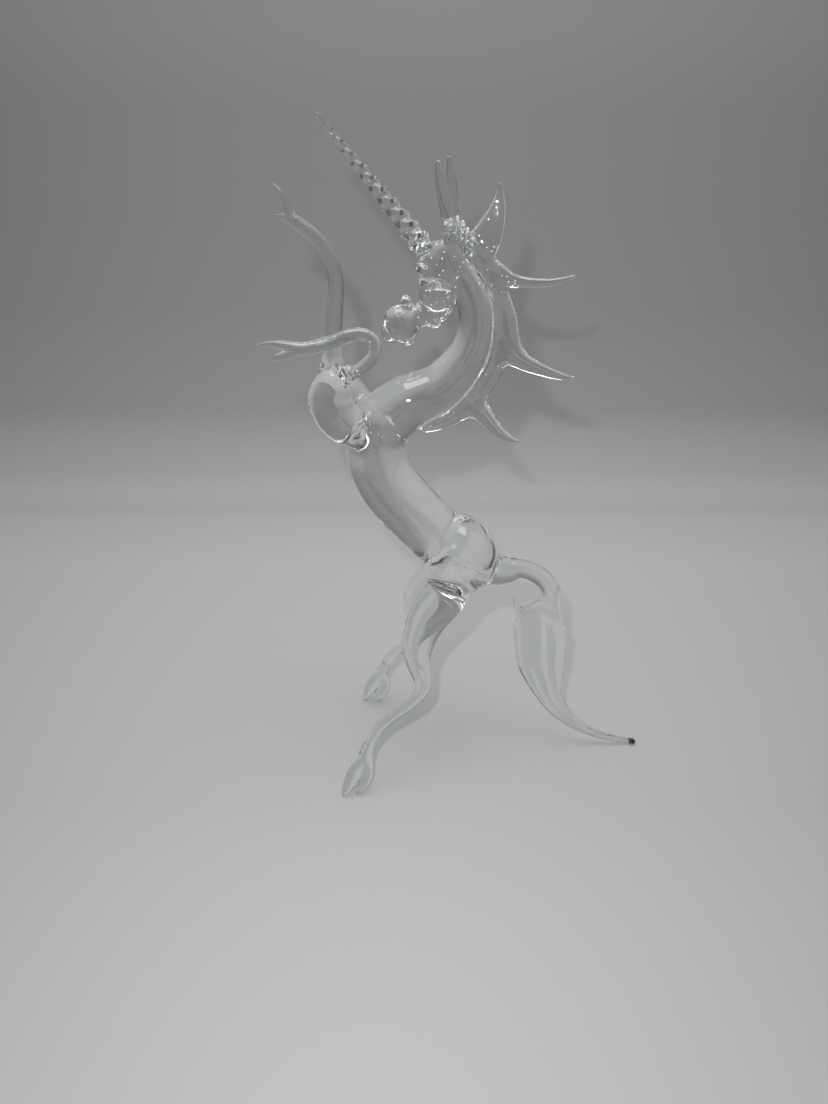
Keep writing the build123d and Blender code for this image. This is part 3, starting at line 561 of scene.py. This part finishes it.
def mesh_object(name, points, faces, material):
    """A smooth mesh in the scene."""
    mesh = bpy.data.meshes.new(name)
    mesh.from_pydata(points, [], faces)
    mesh.polygons.foreach_set("use_smooth", [True] * len(faces))
    mesh.materials.append(material)
    made = bpy.data.objects.new(name, mesh)
    bpy.context.scene.collection.objects.link(made)
    return made


def skin_object(name, skins, material):
    """Skins of glass or air, joined as one mesh in the part's frame."""
    points, faces = joined(skins)
    return mesh_object(name, (points * MM + np.array(home)).tolist(), faces, material)


class Nodes:
    """Builds the nodes of a material or a world in few words."""

    def __init__(self, owner):
        self.owner = owner
        owner.use_nodes = True
        self.tree = owner.node_tree
        self.tree.nodes.clear()

    def add(self, kind, links=(), **values):
        """A node of a kind, with options and inputs set by name and inputs linked by name."""
        node = self.tree.nodes.new("ShaderNode" + kind)
        for name, value in values.items():
            if hasattr(node, name):
                setattr(node, name, value)
            else:
                node.inputs[name.replace("_", " ")].default_value = value
        for name, source in dict(links).items():
            self.tree.links.new(source, node.inputs[name])
        return node

    def math(self, operation, first, second):
        """An operation on two values, each a number or an output."""
        node = self.add("Math", operation=operation)
        for socket, value in zip(node.inputs, (first, second)):
            if isinstance(value, (int, float)):
                socket.default_value = value
            else:
                self.tree.links.new(value, socket)
        return node.outputs[0]

    def ramp(self, share, stops):
        """The colour at a share of the way through the stops, each a position and a colour."""
        node = self.add("ValToRGB", {"Fac": share})
        elements = node.color_ramp.elements
        while len(elements) < len(stops):
            elements.new(0.5)
        for element, (position, colour) in zip(elements, stops):
            element.position = position
            element.color = colour
        return node.outputs["Color"]

    def mix(self, share, first, second):
        """The first shader, or the second where the share is 1."""
        node = self.add("MixShader", {"Fac": share})
        self.tree.links.new(first, node.inputs[1])
        self.tree.links.new(second, node.inputs[2])
        return node.outputs[0]

    def show(self, surface, kind="OutputMaterial"):
        """Shows the shader on the surface, and gives back the material or world."""
        self.add(kind, {"Surface": surface})
        return self.owner


# The tones of each glass, and of what is left of a lamp's light in its shadow
CLEAR = {"pale": (0.975, 0.99, 0.975, 1), "dim": (0.935, 0.96, 0.94, 1), "shadow": (0.74, 0.76, 0.75, 1)}
DARK = {"pale": (0.14, 0.15, 0.15, 1), "dim": (0.05, 0.055, 0.055, 1), "shadow": (0.35, 0.35, 0.35, 1)}
GLASS_IOR = 1.47
RIPPLE_NOISE = {"Scale": 110.0, "Detail": 1.5, "Roughness": 0.45}
SEED_NOISE = {"Scale": 620.0, "Detail": 1.0, "Roughness": 0.5}
STREAK_NOISE = {"Scale": 260.0, "Detail": 2.0}
STREAK_EDGES = (0.35, 0.65)
BUMP_HEIGHT = 0.6
# How far from a weld the seeds thin out
SEED_REACH = 0.9
# The kinds of gather that the flame has worked most
WORKED = ("head", "muzzle", "chin", "nostril", "eye", "cheek", "forelock", "horn")


def glass(name, pale, dim, shadow, ripple, seeds_at_welds, seeds_all_over):
    """Drawn glass: slow ripples, streaks of a fainter tone, and small seeds along the welds. What lies
    inside a neighbour is not seen, and a lamp's light goes through in the shadow's tone."""
    n = Nodes(bpy.data.materials.new(name))
    place = n.add("TexCoord").outputs["Object"]
    seam = n.add("Attribute", attribute_name="free").outputs["Fac"]
    slow = n.add("TexNoise", {"Vector": place}, **RIPPLE_NOISE)
    seeds = n.add("TexNoise", {"Vector": place}, **SEED_NOISE)
    by_weld = n.add("MapRange", {"Value": seam}, From_Max=SEED_REACH, To_Min=seeds_at_welds,
                    To_Max=seeds_all_over)
    height = n.math("ADD", slow.outputs["Fac"],
                    n.math("MULTIPLY", seeds.outputs["Fac"], by_weld.outputs[0]))
    bump = n.add("Bump", {"Height": height}, Strength=ripple, Distance=BUMP_HEIGHT * MM)
    streaks = n.add("TexNoise", {"Vector": place}, **STREAK_NOISE)
    tone = n.ramp(streaks.outputs["Fac"], tuple(zip(STREAK_EDGES, (dim, pale))))
    clear = n.add("BsdfPrincipled", {"Base Color": tone, "Normal": bump.outputs["Normal"]}, Roughness=0.0,
                  IOR=GLASS_IOR, Transmission_Weight=1.0)
    lamp_light = n.add("BsdfTransparent", Color=shadow)
    is_shadow = n.add("LightPath").outputs["Is Shadow Ray"]
    cast = n.mix(is_shadow, clear.outputs[0], lamp_light.outputs[0])
    inner = n.add("BsdfTransparent")
    return n.show(n.mix(n.math("GREATER_THAN", seam, 0.0), inner.outputs[0], cast))


drawn_glass = glass("drawn_glass", **CLEAR, ripple=0.4, seeds_at_welds=0.25, seeds_all_over=0.0)
worked_glass = glass("worked_glass", **CLEAR, ripple=0.5, seeds_at_welds=0.30, seeds_all_over=0.16)
dark_glass = glass("dark_glass", **DARK, ripple=0.4, seeds_at_welds=0.2, seeds_all_over=0.1)
finishes = {kind: worked_glass for kind in WORKED}
finishes["tail_bead"] = dark_glass

for name, skins in pieces.items():
    made = skin_object(f"{name}_glass", [(skin["molten"], skin["faces"]) for skin in skins],
                       finishes.get(kind_of(name), drawn_glass))
    free = made.data.attributes.new("free", "FLOAT", "POINT")
    free.data.foreach_set("value", np.concatenate([skin["free"] for skin in skins]).astype(np.float32))
    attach(made, "root")
    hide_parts(name)

# Small bubbles of air that the flame leaves just under the skin: how many in each gather of a piece, and
# how near to a weld they lie
BUBBLES = {
    "forelock": (10, 9.0), "head": (26, 9.0), "muzzle": (22, 9.0), "horn": (70, 9.0), "chin": (6, 9.0),
    "cheek_left": (10, 9.0), "eye_left": (4, 9.0), "nostril_left": (4, 9.0), "mane_strip": (10, 2.0),
    "mane_lock_1": (8, 2.5), "mane_lock_2": (12, 3.0), "body_and_neck": (30, 2.0),
    "shoulder_left": (12, 1.5), "rump": (14, 2.0), "tail_root": (10, 2.0), "hind_leg_left": (6, 1.5),
    "foreleg_left": (5, 3.0)}
BUBBLE_SIZES = (0.24, 0.48)
BUBBLE_DEPTH = 0.35
# A bubble's least distance from being inside a neighbour
BUBBLE_GAP = 0.25
# How often a bubble's faces are split, and the seed of the random draw
BUBBLE_SPLITS = 2
BUBBLE_DRAW = 11
# The bubbles' tones are a painted glint, pale against the grey of the glass
BUBBLE_GLINT_TONES = ((0.0, (0.90, 0.92, 0.91, 1)), (1.0, (0.98, 0.99, 0.99, 1)))
BUBBLE_GLINT_NOISE = {"Scale": 400.0}
AIR_ROUGHNESS = 0.2


def bubble_glint():
    """A bubble's painted glint: a pale ball, lit by the lamps, that stands in for the sparkle of air in the
    glass.
    """
    n = Nodes(bpy.data.materials.new("bubbles_painted_glint"))
    place = n.add("TexCoord").outputs["Object"]
    tone = n.ramp(n.add("TexNoise", {"Vector": place}, **BUBBLE_GLINT_NOISE).outputs["Fac"], BUBBLE_GLINT_TONES)
    return n.show(n.add("BsdfPrincipled", {"Base Color": tone}, Roughness=AIR_ROUGHNESS).outputs[0])


def unit_ball():
    """A ball that is 1 across: (points, faces)."""
    ball = bmesh.new()
    bmesh.ops.create_icosphere(ball, subdivisions=BUBBLE_SPLITS, radius=1 / 2)
    ball.verts.index_update()
    points = np.array([tuple(vertex.co) for vertex in ball.verts])
    faces = [tuple(vertex.index for vertex in face.verts) for face in ball.faces]
    ball.free()
    return points, faces


chance = np.random.default_rng(BUBBLE_DRAW)
ball_points, ball_faces = unit_ball()
bubble_skins = []
for skin in gathers:
    if skin["piece"] not in BUBBLES:
        continue
    count, nearness = BUBBLES[skin["piece"]]
    open_points = np.nonzero((skin["free"] > BUBBLE_GAP) & (skin["free"] < nearness))[0]
    for i in chance.choice(open_points, size=count):
        size = chance.uniform(*BUBBLE_SIZES)
        middle = skin["points"][i] - skin["normals"][i] * BUBBLE_DEPTH
        bubble_skins.append((ball_points * size + middle, ball_faces))
bubbles = skin_object("bubbles_painted_glint", bubble_skins, bubble_glint())
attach(bubbles, "root")

# Stage: one sheet of paper that runs over the table and up the wall behind
WALL_Y = 262.0
WALL_TOP = 560.0
FRONT_Y = -900.0
STAGE_HALF_WIDTH = 1200.0
COVE = 46.0
COVE_DEGREES = range(0, 91, 6)
# Light and shade painted into the paper's tone along its run, which is Y plus Z: palest on the table near
# the wall, darker towards the front and up the wall
PAPER_RUN = (-140.0, 520.0)
PAPER_LIGHT_AND_SHADE = (
    (-120.0, 0.285), (-95.0, 0.295), (-66.0, 0.31), (-27.0, 0.33), (26.0, 0.38), (85.0, 0.435),
    (145.0, 0.49), (200.0, 0.50), (235.0, 0.45), (262.0, 0.375), (313.0, 0.33), (371.0, 0.272),
    (422.0, 0.25), (472.0, 0.238), (507.0, 0.252))
PAPER_BLUE = 1.02
PAPER_ROUGHNESS = 0.9
CLOUD_NOISE = {"Scale": 3.0, "Detail": 1.0}
CLOUD_SHARE = 0.01
TOOTH_NOISE = {"Scale": 900.0, "Detail": 3.0}
TOOTH_STRENGTH = 0.15
TOOTH_HEIGHT = 0.3


def paper():
    """Matt paper with a fine tooth, with light and shade painted into its tone along its run."""
    n = Nodes(bpy.data.materials.new("paper"))
    place = n.add("TexCoord").outputs["Object"]
    tooth = n.add("TexNoise", {"Vector": place}, **TOOTH_NOISE)
    along = n.add("SeparateXYZ", {"Vector": place})
    start, end = PAPER_RUN
    run = n.add("MapRange", {"Value": n.math("ADD", along.outputs["Y"], along.outputs["Z"])},
                From_Min=start * MM, From_Max=end * MM)
    cloud = n.add("TexNoise", {"Vector": place}, **CLOUD_NOISE)
    share = n.math("ADD", run.outputs[0], n.math("MULTIPLY", cloud.outputs["Fac"], CLOUD_SHARE))
    tone = n.ramp(share, [((at - start) / (end - start), (level, level, level * PAPER_BLUE, 1))
                          for at, level in PAPER_LIGHT_AND_SHADE])
    bump = n.add("Bump", {"Height": tooth.outputs["Fac"]}, Strength=TOOTH_STRENGTH,
                 Distance=TOOTH_HEIGHT * MM)
    shader = n.add("BsdfPrincipled", {"Base Color": tone, "Normal": bump.outputs["Normal"]},
                   Roughness=PAPER_ROUGHNESS)
    return n.show(shader.outputs[0])


profile = [(FRONT_Y, 0.0)]
for degrees in COVE_DEGREES:
    angle = math.radians(degrees)
    profile.append((WALL_Y - COVE + COVE * math.sin(angle), COVE - COVE * math.cos(angle)))
profile.append((WALL_Y, WALL_TOP))
sheet_points = [placed((x, y, z)) for y, z in profile for x in (-STAGE_HALF_WIDTH, STAGE_HALF_WIDTH)]
sheet_faces = [(i, i + 1, i + 3, i + 2) for i in range(0, len(sheet_points) - 2, 2)]
backdrop = mesh_object("backdrop", sheet_points, sheet_faces, paper())

# Camera, as the photograph was taken
CAMERA = (0.0, -229.0, 179.0)
CAMERA_PITCH = 25.0
CAMERA_CLIP = (10.0, 10000.0)
FOCAL_PIXELS = 830.0
FRAME_HEIGHT = 1104.0
SENSOR = 36.0
camera_data = bpy.data.cameras.new("camera")
camera_data.sensor_width = SENSOR
camera_data.lens = FOCAL_PIXELS / FRAME_HEIGHT * SENSOR
camera_data.clip_start = CAMERA_CLIP[0] * MM
camera_data.clip_end = CAMERA_CLIP[1] * MM
camera = bpy.data.objects.new("camera", camera_data)
camera.location = placed(CAMERA)
camera.rotation_euler = (math.radians(90 - CAMERA_PITCH), 0, 0)
bpy.context.scene.collection.objects.link(camera)
bpy.context.scene.camera = camera

# Each lamp's place, the point that it faces, its width and length, and its power in watts
LAMPS = {
    "front": ((-15.0, -229.0, 204.0), (0.0, 0.0, 90.0), (5.0, 5.0), 0.80),
    "overhead": ((20.0, -60.0, 620.0), (10.0, 20.0, 60.0), (420.0, 300.0), 2.3)}
for name, (place, aim, size, power) in LAMPS.items():
    lamp_data = bpy.data.lights.new(name, "AREA")
    lamp_data.shape = "RECTANGLE"
    lamp_data.size = size[0] * MM
    lamp_data.size_y = size[1] * MM
    lamp_data.energy = power
    lamp = bpy.data.objects.new(name, lamp_data)
    lamp.location = placed(place)
    lamp.rotation_euler = (Vector(aim) - Vector(place)).to_track_quat("-Z", "Y").to_euler()
    bpy.context.scene.collection.objects.link(lamp)

# The room round the stage: from its dark tone low down to its pale tone above
ROOM_FADE = (-0.15, 0.85)
ROOM_TONES = ((0.0, (0.12, 0.12, 0.12, 1)), (1.0, (0.72, 0.72, 0.73, 1)))
ROOM_STRENGTH = 0.33


def room():
    """The light of the room by height."""
    n = Nodes(bpy.data.worlds.new("room"))
    height = n.add("SeparateXYZ", {"Vector": n.add("TexCoord").outputs["Generated"]}).outputs["Z"]
    fade = n.add("MapRange", {"Value": height}, From_Min=ROOM_FADE[0], From_Max=ROOM_FADE[1])
    tone = n.ramp(fade.outputs[0], ROOM_TONES)
    return n.show(n.add("Background", {"Color": tone}, Strength=ROOM_STRENGTH).outputs[0], "OutputWorld")


# A ray goes through many skins of glass before it leaves the figure
GLASS_BOUNCES = 48
CLEAR_BOUNCES = 96
MIRROR_BOUNCES = 24
scene = bpy.context.scene
scene.world = room()
scene.view_settings.view_transform = "Standard"
scene.cycles.max_bounces = GLASS_BOUNCES
scene.cycles.transmission_bounces = GLASS_BOUNCES
scene.cycles.transparent_max_bounces = CLEAR_BOUNCES
scene.cycles.glossy_bounces = MIRROR_BOUNCES
scene.cycles.caustics_refractive = False
scene.cycles.caustics_reflective = False
